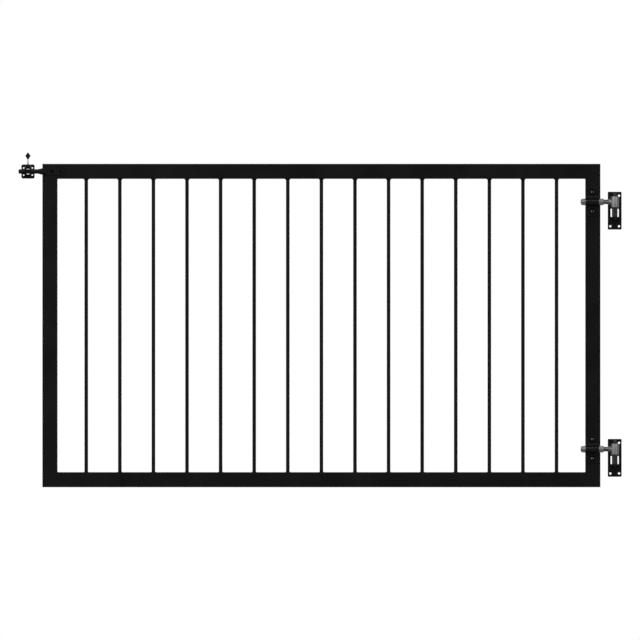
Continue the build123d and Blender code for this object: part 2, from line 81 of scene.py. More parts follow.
def roughen(tree, shader, factor, depth, strength):
    """Bump of the given depth on the shader's normal."""
    bump = tree.nodes.new("ShaderNodeBump")
    bump.inputs["Distance"].default_value = depth
    bump.inputs["Strength"].default_value = strength
    tree.links.new(factor, bump.inputs["Height"])
    tree.links.new(bump.outputs["Normal"], shader.inputs["Normal"])


def powder_coat():
    """Satin black powder, faintly clouded, with its orange peel."""
    material, tree, shader = finish_nodes("satin_powder_coat")
    shader.inputs["Specular IOR Level"].default_value = 0.035
    cloud = grain(tree, scale=9.0, detail=4.0)
    peel = grain(tree, scale=700.0, detail=1.0)
    tree.links.new(between(tree, cloud, low=0.001, high=0.0018), shader.inputs["Base Color"])
    tree.links.new(between(tree, cloud, low=0.4, high=0.48), shader.inputs["Roughness"])
    roughen(tree, shader, peel, depth=0.00003, strength=0.15)
    return material


frame_coat = powder_coat()
for node in ("latch_stile", "hinge_stile", "top_rail", "bottom_rail"):
    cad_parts[node].data.materials[0] = frame_coat

rail_low, rail_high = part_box("top_rail")
tube = rail_high.z - rail_low.z
leaf_low = Vector(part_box("bottom_rail")[0])
leaf_high = Vector(rail_high)
leaf_middle = (leaf_low + leaf_high) / 2


# Pickets: fifteen lengths of solid round bar standing between the rails. Each end is welded all round by
# hand, with a fuller bead at the head than at the foot, and the leaf's powder coat covers bar and bead.
def lathe(rings, sides, closed=False):
    """A turned shape about Z from (radius, height) rings; either number may depend on the angle."""
    shape = bmesh.new()
    loops = []
    for radius, height in rings:
        loop = []
        for step in range(sides if radius else 1):
            angle = 2 * math.pi * step / sides
            reach = radius(angle) if callable(radius) else radius
            rise = height(angle) if callable(height) else height
            loop.append(shape.verts.new((reach * math.cos(angle), reach * math.sin(angle), rise)))
        loops.append(loop)
    following = loops[1:] + loops[:1] if closed else loops[1:]
    for near, far in zip(loops, following):
        for step in range(sides):
            ahead = step + 1
            corners = (
                near[step % len(near)],
                near[ahead % len(near)],
                far[ahead % len(far)],
                far[step % len(far)],
            )
            shape.faces.new(dict.fromkeys(corners))
    bmesh.ops.recalc_face_normals(shape, faces=shape.faces)
    return shape


def as_mesh(name, shape, turn=Matrix.Identity(4)):
    """The shape, turned into place, as mesh data."""
    shape.transform(turn)
    data = bpy.data.meshes.new(name)
    shape.to_mesh(data)
    shape.free()
    return data


def shown(name, data, crease=math.radians(32)):
    """A new piece, smooth except where its faces meet at more than the crease angle."""
    data.shade_smooth()
    data.set_sharp_from_angle(angle=crease)
    piece = bpy.data.objects.new(name, data)
    bpy.context.scene.collection.objects.link(piece)
    return piece


def new_tree(name, wanted, made):
    """A Geometry Nodes tree with its named inputs and one output: the tree, the inputs and the output."""
    tree = bpy.data.node_groups.new(name, "GeometryNodeTree")
    for label, kind in wanted:
        tree.interface.new_socket(label, in_out="INPUT", socket_type=f"NodeSocket{kind}")
    tree.interface.new_socket(made, in_out="OUTPUT", socket_type="NodeSocketGeometry")
    given = tree.nodes.new("NodeGroupInput").outputs
    result = tree.nodes.new("NodeGroupOutput").inputs[made]
    return tree, given, result


def rows_tree():
    """Copies the piece in rows, Count along Step and Rows along Row Step, turned at random up to Turn."""
    wanted = (
        ("Piece", "Geometry"),
        ("Start", "Vector"),
        ("Count", "Int"),
        ("Step", "Vector"),
        ("Rows", "Int"),
        ("Row Step", "Vector"),
        ("Turn", "Vector"),
        ("Seed", "Int"),
        ("Finish", "Material"),
    )
    tree, given, result = new_tree("rows_of_like_pieces", wanted, "Rows of Pieces")
    across = tree.nodes.new("GeometryNodeMeshLine")
    down = tree.nodes.new("GeometryNodeMeshLine")
    grid = tree.nodes.new("GeometryNodeInstanceOnPoints")
    points = tree.nodes.new("GeometryNodeRealizeInstances")
    chance = tree.nodes.new("FunctionNodeRandomValue")
    chance.data_type = "FLOAT_VECTOR"
    chance.inputs["Min"].default_value = (0, 0, 0)
    turned = tree.nodes.new("FunctionNodeEulerToRotation")
    copies = tree.nodes.new("GeometryNodeInstanceOnPoints")
    whole = tree.nodes.new("GeometryNodeRealizeInstances")
    coated = tree.nodes.new("GeometryNodeSetMaterial")
    joins = (
        (given["Start"], down.inputs["Start Location"]),
        (given["Rows"], down.inputs["Count"]),
        (given["Row Step"], down.inputs["Offset"]),
        (given["Count"], across.inputs["Count"]),
        (given["Step"], across.inputs["Offset"]),
        (down.outputs["Mesh"], grid.inputs["Points"]),
        (across.outputs["Mesh"], grid.inputs["Instance"]),
        (grid.outputs["Instances"], points.inputs["Geometry"]),
        (points.outputs["Geometry"], copies.inputs["Points"]),
        (given["Piece"], copies.inputs["Instance"]),
        (given["Turn"], chance.inputs["Max"]),
        (given["Seed"], chance.inputs["Seed"]),
        (chance.outputs["Value"], turned.inputs["Euler"]),
        (turned.outputs["Rotation"], copies.inputs["Rotation"]),
        (copies.outputs["Instances"], whole.inputs["Geometry"]),
        (whole.outputs["Geometry"], coated.inputs["Geometry"]),
        (given["Finish"], coated.inputs["Material"]),
        (coated.outputs["Geometry"], result),
    )
    for source, target in joins:
        tree.links.new(source, target)
    return tree


def grown(name, data, tree, values):
    """The mesh that a Geometry Nodes tree makes of the data, as a plain piece."""
    piece = bpy.data.objects.new(name, data)
    bpy.context.scene.collection.objects.link(piece)
    modifier = piece.modifiers.new(tree.name, "NODES")
    modifier.node_group = tree
    for socket in tree.interface.items_tree:
        if socket.in_out == "INPUT" and socket.name in values:
            modifier[socket.identifier] = values[socket.name]
    evaluated = piece.evaluated_get(bpy.context.evaluated_depsgraph_get())
    made = bpy.data.meshes.new_from_object(evaluated)
    bpy.data.objects.remove(piece)
    made.name = name
    return shown(name, made)


def weld_reach(share):
    """How far a convex fillet weld of leg 1 reaches from its corner, share of the way round it."""
    fullness = 1.35
    lean = share * math.pi / 2
    return 1 / (math.cos(lean) ** fullness + math.sin(lean) ** fullness) ** (1 / fullness)


def ripple(phase, hollow):
    """The swell of a hand-laid bead: 1 on its crests, and the hollow's share of that between them."""
    return hollow + (1 - hollow) * abs(math.sin(phase))


def picket_rings(radius, foot_leg, head_leg, length, ripples, steps):
    """A bar from Z = 0 to its length with a rippled weld round both ends."""

    def swell(angle):
        return ripple(ripples * angle / 2, hollow=0.82)

    def weld_ring(share, leg, root, up):
        lean = share * math.pi / 2
        out = leg * weld_reach(share) * math.cos(lean)
        rise = up * leg * weld_reach(share) * math.sin(lean)
        return (lambda angle: radius + swell(angle) * out, lambda angle: root + swell(angle) * rise)

    shares = [step / steps for step in range(steps + 1)]
    foot = [weld_ring(share, foot_leg, 0.0, 1) for share in shares]
    head = [weld_ring(share, head_leg, length, -1) for share in reversed(shares)]
    return [(0, 0.0), *foot, *head, (0, length)]


rows = rows_tree()
picket_count = 15
picket_names = [f"picket_{index + 1:02d}" for index in range(picket_count)]
picket_low, picket_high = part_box(picket_names[0])
last_low, last_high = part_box(picket_names[-1])
picket_radius = 0.006
picket_foot_weld = 0.0022
picket_head_weld = 0.0035
picket_length = picket_high.z - picket_low.z
picket_x = (picket_low.x + picket_high.x) / 2
picket_pitch = ((last_low.x + last_high.x) / 2 - picket_x) / (picket_count - 1)
one_picket = lathe(
    picket_rings(picket_radius, picket_foot_weld, picket_head_weld, picket_length, ripples=13, steps=5),
    sides=78,
)
pickets = grown(
    "pickets",
    as_mesh("one_picket", one_picket),
    rows,
    {
        "Start": (picket_x, (picket_low.y + picket_high.y) / 2, picket_low.z),
        "Count": picket_count,
        "Step": (picket_pitch, 0, 0),
        "Rows": 1,
        "Row Step": (0, 0, 0),
        "Turn": (0, 0, 2 * math.pi),
        "Seed": 4,
        "Finish": frame_coat,
    },
)
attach(pickets, "leaf")
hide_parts(*picket_names)


# Corner welds: the mitres are ground flush outside, but the bead stays in each inner corner of the leaf.
# It is a short rippled fillet nearly as long as the tube is deep, under the same powder coat.
def inner_corner_bead(leg, length, wave, stations_per_wave, steps):
    """A fillet weld along Y whose corner is the origin and whose face looks along +X."""
    shape = bmesh.new()
    stations = int(length / wave) * stations_per_wave
    slices = []
    for station in range(stations + 1):
        along = length * station / stations
        swell = leg * ripple(math.pi * along / wave, hollow=0.8)
        slice_points = [shape.verts.new((0, along - length / 2, 0))]
        for step in range(steps + 1):
            lean = step / steps * math.pi / 2 - math.pi / 4
            reach = swell * weld_reach(step / steps)
            point = (reach * math.cos(lean), along - length / 2, reach * math.sin(lean))
            slice_points.append(shape.verts.new(point))
        slices.append(slice_points)
    for near, far in zip(slices, slices[1:]):
        for step in range(len(near)):
            ahead = (step + 1) % len(near)
            shape.faces.new((near[step], near[ahead], far[ahead], far[step]))
    shape.faces.new(slices[0])
    shape.faces.new(slices[-1])
    bmesh.ops.recalc_face_normals(shape, faces=shape.faces)
    return shape


def corners_tree():
    """Puts the piece in the four corners of a Width by Height frame, facing the middle of each corner."""
    wanted = (
        ("Piece", "Geometry"),
        ("Middle", "Vector"),
        ("Width", "Float"),
        ("Height", "Float"),
        ("Finish", "Material"),
    )
    tree, given, result = new_tree("four_inner_corners", wanted, "Corner Pieces")
    corners = tree.nodes.new("GeometryNodeMeshGrid")
    corners.inputs["Vertices X"].default_value = 2
    corners.inputs["Vertices Y"].default_value = 2
    upright = tree.nodes.new("GeometryNodeTransform")
    upright.inputs["Rotation"].default_value = (math.pi / 2, 0, 0)
    place = tree.nodes.new("GeometryNodeInputPosition")
    quarter = tree.nodes.new("ShaderNodeVectorMath")
    quarter.operation = "SIGN"
    inward = tree.nodes.new("ShaderNodeVectorMath")
    inward.operation = "MULTIPLY"
    inward.inputs[1].default_value = (-1, 0, -1)
    facing = tree.nodes.new("FunctionNodeAlignRotationToVector")
    facing.axis = "X"
    facing.pivot_axis = "Y"
    copies = tree.nodes.new("GeometryNodeInstanceOnPoints")
    whole = tree.nodes.new("GeometryNodeRealizeInstances")
    moved = tree.nodes.new("GeometryNodeTransform")
    coated = tree.nodes.new("GeometryNodeSetMaterial")
    joins = (
        (given["Width"], corners.inputs["Size X"]),
        (given["Height"], corners.inputs["Size Y"]),
        (corners.outputs["Mesh"], upright.inputs["Geometry"]),
        (upright.outputs["Geometry"], copies.inputs["Points"]),
        (given["Piece"], copies.inputs["Instance"]),
        (place.outputs["Position"], quarter.inputs[0]),
        (quarter.outputs["Vector"], inward.inputs[0]),
        (inward.outputs["Vector"], facing.inputs["Vector"]),
        (facing.outputs["Rotation"], copies.inputs["Rotation"]),
        (copies.outputs["Instances"], whole.inputs["Geometry"]),
        (whole.outputs["Geometry"], moved.inputs["Geometry"]),
        (given["Middle"], moved.inputs["Translation"]),
        (moved.outputs["Geometry"], coated.inputs["Geometry"]),
        (given["Finish"], coated.inputs["Material"]),
        (coated.outputs["Geometry"], result),
    )
    for source, target in joins:
        tree.links.new(source, target)
    return tree


corner_weld_leg = 0.0014
corner_weld_wave = 0.0016
corner_weld_share = 0.94
corner_bead = inner_corner_bead(
    corner_weld_leg, tube * corner_weld_share, corner_weld_wave, stations_per_wave=6, steps=5
)
corner_welds = grown(
    "corner_welds",
    as_mesh("one_corner_bead", corner_bead),
    corners_tree(),
    {
        "Middle": leaf_middle,
        "Width": leaf_high.x - leaf_low.x - 2 * tube,
        "Height": leaf_high.z - leaf_low.z - 2 * tube,
        "Finish": frame_coat,
    },
)
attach(corner_welds, "leaf")


# Striker bar: round bar that runs into the latch, swelling to an oval root at the stile and forged flat
# behind it. Like all the black fittings it is blasted and dipped in a thin coat, which is thin on the
# rounded edges, where its lighter colour is also a painted highlight. The bar's own coat is satin.
def mixed(tree, kind, first, second):
    """Two colours multiplied or added in full."""
    mix = tree.nodes.new("ShaderNodeMix")
    mix.data_type = "RGBA"
    mix.blend_type = kind
    mix.inputs["Factor"].default_value = 1.0
    tree.links.new(first, mix.inputs["A"])
    tree.links.new(second, mix.inputs["B"])
    return mix.outputs["Result"]


def dipped_coat(name, sheen, smoothest, roughest, darkest, lightest):
    """Black dip, faintly clouded on a blasted surface; its rounded edges are lighter, as thin coat and
    painted highlight.
    """
    material, tree, shader = finish_nodes(name)
    shader.inputs["Specular IOR Level"].default_value = sheen
    cloud = grain(tree, scale=60.0, detail=5.0)
    blast = grain(tree, scale=1400.0, detail=2.0)
    edges = tree.nodes.new("ShaderNodeAttribute")
    edges.attribute_name = "thin_coat_and_highlight_edge"
    body = between(tree, cloud, darkest, lightest)
    # Rounded edges are lighter: partly the thin coat there, partly a painted highlight.
    thin_coat_and_painted_highlight = between(tree, edges.outputs["Fac"], low=0.0, high=0.004, start=0.0, end=1.0)
    tree.links.new(mixed(tree, "ADD", body, thin_coat_and_painted_highlight), shader.inputs["Base Color"])
    tree.links.new(between(tree, cloud, smoothest, roughest), shader.inputs["Roughness"])
    roughen(tree, shader, blast, depth=0.00003, strength=0.25)
    return material


def face_normals(shape, rounding, thin_and_lit_edges):
    """Each point's normal, from the faces outside the rounding; a point inside it is marked for the edges'
    thin coat and painted highlight.
    """
    shape.normal_update()
    normals = []
    for point in shape.verts:
        normal = Vector()
        for corner in point.link_loops:
            if corner.face not in rounding:
                normal += corner.face.normal * corner.calc_angle()
        point[thin_and_lit_edges] = 0.0 if normal.length else 1.0
        normals.append(normal.normalized())
    return normals


def eased(name, node, edge, finish, body):
    """A copy of a black CAD node whose sharp edges are rounded, standing in for it."""
    same_point = 1e-6
    same_face = math.radians(0.5)
    sharp_angle = math.radians(33)
    shape = bmesh.new()
    shape.from_mesh(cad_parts[node].data)
    thin_and_lit_edges = shape.verts.layers.float.new("thin_coat_and_highlight_edge")
    bmesh.ops.remove_doubles(shape, verts=shape.verts, dist=same_point)
    bmesh.ops.dissolve_limit(shape, angle_limit=same_face, verts=shape.verts, edges=shape.edges)
    sharp = [ridge for ridge in shape.edges if ridge.calc_face_angle(0) > sharp_angle]
    made = bmesh.ops.bevel(
        shape,
        geom=sharp,
        offset=edge,
        offset_type="OFFSET",
        segments=3,
        profile=0.5,
        affect="EDGES",
        clamp_overlap=True,
        harden_normals=False,
    )
    normals = face_normals(shape, set(made["faces"]), thin_and_lit_edges)
    data = as_mesh(name, shape)
    if "custom_normal" in data.attributes:
        data.attributes.remove(data.attributes["custom_normal"])
    data.materials.clear()
    data.materials.append(finish)
    piece = shown(name, data)
    piece.data.normals_split_custom_set_from_vertices(normals)
    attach(piece, body)
    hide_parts(node)


striker_coat = dipped_coat(
    "satin_black_coat", sheen=0.038, smoothest=0.38, roughest=0.46, darkest=0.001, lightest=0.0018
)
eased("forged_striker", "striker_bar", edge=0.0006, finish=striker_coat, body="leaf")


# Striker screws: two countersunk screws with a hexagon socket, driven into the top rail's front wall
# through the flat tail. They are blackened and oiled, so they show only as faint dark marks.
def hexagon(across_flats):
    """The reach of a hexagon's side at an angle."""
    sixth = math.pi / 3
    return lambda angle: across_flats / 2 / math.cos((angle + sixth / 2) % sixth - sixth / 2)


def along_y(place=(0, 0, 0)):
    """Turns a lathed shape so that its +Z points to the viewer, at -Y."""
    return Matrix.Translation(place) @ Matrix.Rotation(math.pi / 2, 4, "X")


oiled_black = dipped_coat(
    "oiled_black_steel", sheen=0.02, smoothest=0.1, roughest=0.14, darkest=0.0004, lightest=0.001
)
screws_low, screws_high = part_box("striker_screws")
screw_length = screws_high.y - screws_low.y
screw_head = (screws_high.z - screws_low.z) / 2
screw_radius = 0.003
screw_sink = 0.003
screw_point_radius = 0.0021
screw_point_length = 0.0012
screw_rim = 0.0003
screw_socket = hexagon(0.004)
screw_socket_mouth = 0.0027
screw_socket_lip = 0.0002
screw_socket_depth = 0.002
screw_socket_cone = 0.0006
screw_rings = [
    (0, -screw_length),
    (screw_point_radius, -screw_length),
    (screw_radius, -screw_length + screw_point_length),
    (screw_radius, -screw_sink),
    (screw_head - screw_rim, -screw_rim),
    (screw_head - 2 * screw_rim, -screw_rim / 6),
    (screw_head - 4 * screw_rim, 0.0),
    (screw_socket_mouth, 0.0),
    (screw_socket, -screw_socket_lip),
    (screw_socket, -screw_socket_depth),
    (0, -screw_socket_depth - screw_socket_cone),
]
striker_screws = grown(
    "countersunk_screws",
    as_mesh("one_countersunk_screw", lathe(screw_rings, sides=48), along_y()),
    rows,
    {
        "Start": (screws_low.x + screw_head, screws_low.y, (screws_low.z + screws_high.z) / 2),
        "Count": 2,
        "Step": (screws_high.x - screws_low.x - 2 * screw_head, 0, 0),
        "Rows": 1,
        "Row Step": (0, 0, 0),
        "Turn": (0, 2 * math.pi, 0),
        "Seed": 2,
        "Finish": oiled_black,
    },
)
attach(striker_screws, "leaf")
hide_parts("striker_screws")


# Hinge straps: flat bar pressed to a half-round channel that clamps the eye bolt's shank on the stile.
# The press leaves the edges eased, and the strap is dipped in a semi-gloss black coat.
black_coat = dipped_coat(
    "semi_gloss_black_coat", sheen=0.035, smoothest=0.15, roughest=0.2, darkest=0.0019, lightest=0.0027
)
hinges = ("lower", "upper")
for side in hinges:
    node = f"{side}_hinge_strap"
    eased(f"{side}_pressed_strap", node, edge=0.0009, finish=black_coat, body="leaf")


# Strap bolts: two button heads with a hexagon socket hold each strap. They are blackened, with painted
# shade at each head's rim and a painted glint on its crown. Their shanks pass through the stile and end in
# a lock nut behind it.
def thread(core, crest, pitch, height):
    """The reach of a screw thread's flank at an angle, for the ring at this height."""
    root_flat = 0.1
    flank = 0.5

    def reach(angle):
        phase = (height / pitch - angle / (2 * math.pi)) % 1
        rise = 1 - abs(2 * phase - 1)
        return core + (crest - core) * min(max((rise - root_flat) / flank, 0), 1)

    return reach


def threaded(crest, pitch, start, end):
    """The rings of a thread that runs from one height to another."""
    depth = 0.61 * pitch
    rings_per_turn = 7
    count = max(int(abs(end - start) / pitch * rings_per_turn), 1)
    heights = [start + (end - start) * step / count for step in range(count + 1)]
    return [(thread(crest - depth, crest, pitch, height), height) for height in heights]


def arc(middle, radius, start, end, steps):
    """Rings on an arc about (radius, height) middle, by angles from the outward level."""
    angles = [math.radians(start + (end - start) * step / steps) for step in range(steps + 1)]
    return [
        (middle[0] + radius * math.cos(angle), middle[1] + radius * math.sin(angle)) for angle in angles
    ]


def coordinate(tree, axis):
    """One coordinate of the piece's own frame."""
    place = tree.nodes.new("ShaderNodeTexCoord")
    parts = tree.nodes.new("ShaderNodeSeparateXYZ")
    tree.links.new(place.outputs["Object"], parts.inputs["Vector"])
    return parts.outputs[axis]


def graded(tree, value, start, end, low, high, kind="SMOOTHSTEP"):
    """A number that runs from low to high while the value runs from start to end."""
    grade = tree.nodes.new("ShaderNodeMapRange")
    grade.interpolation_type = kind
    grade.inputs["From Min"].default_value = start
    grade.inputs["From Max"].default_value = end
    grade.inputs["To Min"].default_value = low
    grade.inputs["To Max"].default_value = high
    tree.links.new(value, grade.inputs["Value"])
    return grade.outputs["Result"]


def black_steel_painted_shade_and_glint(rim, crown):
    """Black oxide on steel, painted dead black behind the rim's Y as shade and bright in front of the
    crown's Y as a glint.
    """
    material, tree, shader = finish_nodes("black_steel_with_painted_rim_shade_and_crown_glint")
    shader.inputs["Metallic"].default_value = 1.0
    cloud = grain(tree, scale=60.0, detail=5.0)
    # Painted light: reflectance runs from painted shade at the rim to a painted glint at the crown.
    painted_shade_and_glint = graded(tree, coordinate(tree, "Y"), rim, crown, low=0.0016, high=0.017)
    mottle = between(tree, cloud, low=0.85, high=1.0)
    tree.links.new(mixed(tree, "MULTIPLY", painted_shade_and_glint, mottle), shader.inputs["Base Color"])
    tree.links.new(between(tree, cloud, low=0.08, high=0.12), shader.inputs["Roughness"])
    return material


bolts_low, bolts_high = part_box("lower_strap_bolts")
hinge_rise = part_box("upper_strap_bolts")[0].z - bolts_low.z
strap_thickness = 0.004
strap_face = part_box("lower_hinge_strap")[1].y - strap_thickness
bolt_x = (bolts_low.x + bolts_high.x) / 2
bolt_radius = 0.005
bolt_tail = bolts_high.y - strap_face
bolt_point_radius = 0.0039
bolt_thread_pitch = 0.0015
bolt_thread_start = 0.0008
bolt_thread_end = 0.0165
bolt_thread_runout = 0.0005
head_radius = (bolts_high.x - bolts_low.x) / 2
head_height = strap_face - bolts_low.y
head_ease = 0.0003
rim_height = 0.0008
bolt_socket = hexagon(0.005)
bolt_socket_mouth = 0.0031
bolt_socket_lip = 0.0003
bolt_socket_depth = 0.003
bolt_socket_cone = 0.0008
dome_rise = head_height - rim_height
dome_spread = (head_radius**2 - bolt_socket_mouth**2) / 2 / dome_rise
dome_middle = (head_height + rim_height) / 2 - dome_spread
dome_radius = math.hypot(head_radius, rim_height - dome_middle)
dome_start = math.degrees(math.acos(head_radius / dome_radius))
dome_end = math.degrees(math.acos(bolt_socket_mouth / dome_radius))
# Painted light on the bolt heads: painted shade at the rim, a painted glint on the crown.
painted_shade_rim = 0.0034
painted_glint_crown = 0.0046
bolt_black = black_steel_painted_shade_and_glint(strap_face - painted_shade_rim, strap_face - painted_glint_crown)
bolt_rings = [
    (0, -bolt_tail),
    (bolt_point_radius, -bolt_tail),
    *threaded(bolt_radius, bolt_thread_pitch, bolt_thread_start - bolt_tail, bolt_thread_end - bolt_tail),
    (bolt_radius, bolt_thread_end + bolt_thread_runout - bolt_tail),
    (bolt_radius, 0.0),
    (head_radius - head_ease, 0.0),
    *arc((0, dome_middle), dome_radius, dome_start, dome_end, steps=8),
    (bolt_socket, head_height - bolt_socket_lip),
    (bolt_socket, head_height - bolt_socket_depth),
    (0, head_height - bolt_socket_depth - bolt_socket_cone),
]
bolt_places = {
    "Count": 2,
    "Step": (0, 0, bolts_high.z - bolts_low.z - 2 * head_radius),
    "Rows": 2,
    "Row Step": (0, 0, hinge_rise),
    "Turn": (0, 2 * math.pi, 0),
}
bolt_first = Vector((bolt_x, 0, bolts_low.z + head_radius))
strap_bolts = grown(
    "button_head_bolts",
    as_mesh("one_button_head_bolt", lathe(bolt_rings, sides=48), along_y()),
    rows,
    {**bolt_places, "Start": bolt_first + Vector((0, strap_face, 0)), "Seed": 7, "Finish": bolt_black},
)
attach(strap_bolts, "leaf")
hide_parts("lower_strap_bolts", "upper_strap_bolts")


# Strap washers and lock nuts: stamped washers and nuts with a crimped crown behind the stile, zinc plated.
# The plating is dull and slightly mottled, and darker where handling has marked it.
def zinc_plating(name, smoothest=0.4, roughest=0.47):
    """Dull grey zinc with a fine mottle, a slow haze and small scuffs."""
    material, tree, shader = finish_nodes(name)
    shader.inputs["Metallic"].default_value = 1.0
    mottle = grain(tree, scale=210.0, detail=3.0)
    haze = grain(tree, scale=45.0, detail=2.0)
    scuffs = grain(tree, scale=1700.0, detail=2.0)
    plain = between(tree, mottle, low=0.083, high=0.109)
    marked = between(tree, haze, low=0.86, high=1.0)
    tree.links.new(mixed(tree, "MULTIPLY", plain, marked), shader.inputs["Base Color"])
    tree.links.new(between(tree, mottle, smoothest, roughest), shader.inputs["Roughness"])
    roughen(tree, shader, scuffs, depth=0.00004, strength=0.3)
    return material


def flat_ring(outer, inner, thickness, ease):
    """A washer from Z = 0 up, its four rims eased."""
    cut = ease * 0.3
    return [
        (inner, ease),
        (inner + ease, 0),
        (outer - ease, 0),
        (outer - cut, cut),
        (outer, ease),
        (outer, thickness - ease),
        (outer - cut, thickness - cut),
        (outer - ease, thickness),
        (inner + ease, thickness),
        (inner, thickness - ease),
    ]


def nut_outside(across_flats, start, end, steps=5):
    """Rings of a hexagon whose corners are turned off at both ends, from one height to another."""
    corner = across_flats / math.sqrt(3)
    face_share = 0.965
    chamfer = math.radians(30)
    face = across_flats / 2 * face_share
    slope = (corner - face) * math.tan(chamfer)
    up = 1 if end > start else -1

    def cut(share):
        limit = face + (corner - face) * share
        side = hexagon(across_flats)
        return lambda angle: min(side(angle), limit)

    shares = [step / steps for step in range(steps + 1)]
    rising = [(cut(share), start + up * slope * share) for share in shares]
    falling = [(cut(share), end - up * slope * share) for share in reversed(shares)]
    return rising + falling


zinc = zinc_plating("dull_zinc_plating")
back_washer_low, back_washer_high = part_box("lower_strap_washers")
back_washer_thickness = back_washer_high.y - back_washer_low.y
back_washer_radius = (back_washer_high.x - back_washer_low.x) / 2
back_washer_room = 0.0005
back_washer_bore = bolt_radius + back_washer_room
back_washer_rings = flat_ring(back_washer_radius, back_washer_bore, back_washer_thickness, ease=0.0003)
back_washers = grown(
    "stile_washers",
    as_mesh("one_stile_washer", lathe(back_washer_rings, sides=48, closed=True), along_y()),
    rows,
    {**bolt_places, "Start": bolt_first + Vector((0, back_washer_high.y, 0)), "Seed": 3, "Finish": zinc},
)
lock_low, lock_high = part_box("lower_strap_nuts")
lock_height = lock_high.y - lock_low.y
lock_flats = 0.017
lock_crown_height = 0.0025
lock_crown_inset = 0.001
lock_crown_radius = lock_flats / 2 - lock_crown_inset
lock_crown_round = 0.0015
lock_mouth_width = 0.0008
lock_mouth_depth = 0.0006
lock_hex = lock_height - lock_crown_height
lock_round_middle = (lock_crown_radius - lock_crown_round, lock_crown_round - lock_height)
lock_rings = [
    (bolt_radius, 0.0),
    *nut_outside(lock_flats, 0.0, -lock_hex),
    (lock_crown_radius, -lock_hex),
    *arc(lock_round_middle, lock_crown_round, 0, -90, steps=5),
    (bolt_radius + lock_mouth_width, -lock_height),
    (bolt_radius, lock_mouth_depth - lock_height),
]
lock_nuts = grown(
    "lock_nuts",
    as_mesh("one_lock_nut", lathe(lock_rings, sides=72, closed=True), along_y()),
    rows,
    {**bolt_places, "Start": bolt_first + Vector((0, lock_low.y, 0)), "Seed": 11, "Finish": zinc},
)
for piece, kind in ((back_washers, "strap_washers"), (lock_nuts, "strap_nuts")):
    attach(piece, "leaf")
    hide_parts(f"lower_{kind}", f"upper_{kind}")


# Eye bolts: a turned barrel welded to a threaded rod, zinc plated, and darkened at the neck by painted
# shade.
# The barrel turns on the hinge pin, and the rod's thread sets how far the leaf hangs from the post.
def along_x(place=(0, 0, 0)):
    """Turns a lathed shape so that its +Z points to -X, away from the post."""
    return Matrix.Translation(place) @ Matrix.Rotation(-math.pi / 2, 4, "Y")


def painted_shade_band(material, middle, half_width, fade, share):
    """Painted shade: darkens a finish to a share of its colour in a band across X, with soft sides."""
    tree = material.node_tree
    target = tree.nodes["Principled BSDF"].inputs["Base Color"]
    plain = target.links[0].from_socket
    offset = tree.nodes.new("ShaderNodeMath")
    offset.operation = "SUBTRACT"
    offset.inputs[1].default_value = middle
    gap = tree.nodes.new("ShaderNodeMath")
    gap.operation = "ABSOLUTE"
    tree.links.new(coordinate(tree, "X"), offset.inputs[0])
    tree.links.new(offset.outputs["Value"], gap.inputs[0])
    level = graded(tree, gap.outputs["Value"], half_width, half_width + fade, low=share, high=1.0)
    tree.links.new(mixed(tree, "MULTIPLY", plain, level), target)


def barrel_rings(outer, bore, height, ease):
    """The eye: a thick tube about Z with rounded rims."""
    top = height / 2
    inner_ease = ease * 0.4
    return [
        (bore, -top + inner_ease),
        (bore + inner_ease, -top),
        *arc((outer - ease, -top + ease), ease, -90, 0, steps=5),
        *arc((outer - ease, top - ease), ease, 0, 90, steps=5),
        (bore + inner_ease, top),
        (bore, top - inner_ease),
    ]


def neck_rings(rod, collar, barrel, neck_end, bead):
    """The rod's root: a weld bead that follows the barrel's side, a collar and a shoulder to the rod."""

    def on_barrel(radius, gap):
        return lambda angle: math.sqrt(barrel**2 - (radius * math.sin(angle)) ** 2) + gap

    shoulder = collar - rod
    return [
        (collar + bead, on_barrel(collar + bead, -bead * 0.3)),
        (collar + bead * 0.5, on_barrel(collar + bead * 0.5, bead * 0.45)),
        (collar, on_barrel(collar, bead)),
        (collar, neck_end - shoulder * 0.9),
        (collar - shoulder * 0.3, neck_end - shoulder * 0.55),
        (rod + shoulder * 0.25, neck_end - shoulder * 0.15),
        (rod, neck_end),
    ]


eye_low, eye_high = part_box("lower_eye_bolt")
eye_y = (eye_low.y + eye_high.y) / 2
eye_radius = eye_high.x
eye_bore = 0.00708
barrel_zinc = zinc_plating("tumbled_zinc_plating", smoothest=0.5, roughest=0.56)
one_barrel = lathe(
    barrel_rings(eye_radius, eye_bore, eye_high.z - eye_low.z, ease=0.0015), sides=64, closed=True
)
rod_radius = 0.008
rod_end = -eye_low.x
rod_root = eye_radius * 0.7
rod_point_radius = 0.0064
rod_thread_pitch = 0.002
rod_thread_relief = 0.0015
rod_thread_runout = 0.001
neck_end = 0.0235
neck_radius = 0.01025
rod_rings = [
    (0, rod_root),
    (neck_radius, rod_root),
    *neck_rings(rod_radius, neck_radius, eye_radius, neck_end, bead=0.0012),
    (rod_radius, neck_end + rod_thread_runout),
    *threaded(rod_radius, rod_thread_pitch, neck_end + rod_thread_relief, rod_end - rod_thread_runout),
    (rod_point_radius, rod_end),
    (0, rod_end),
]
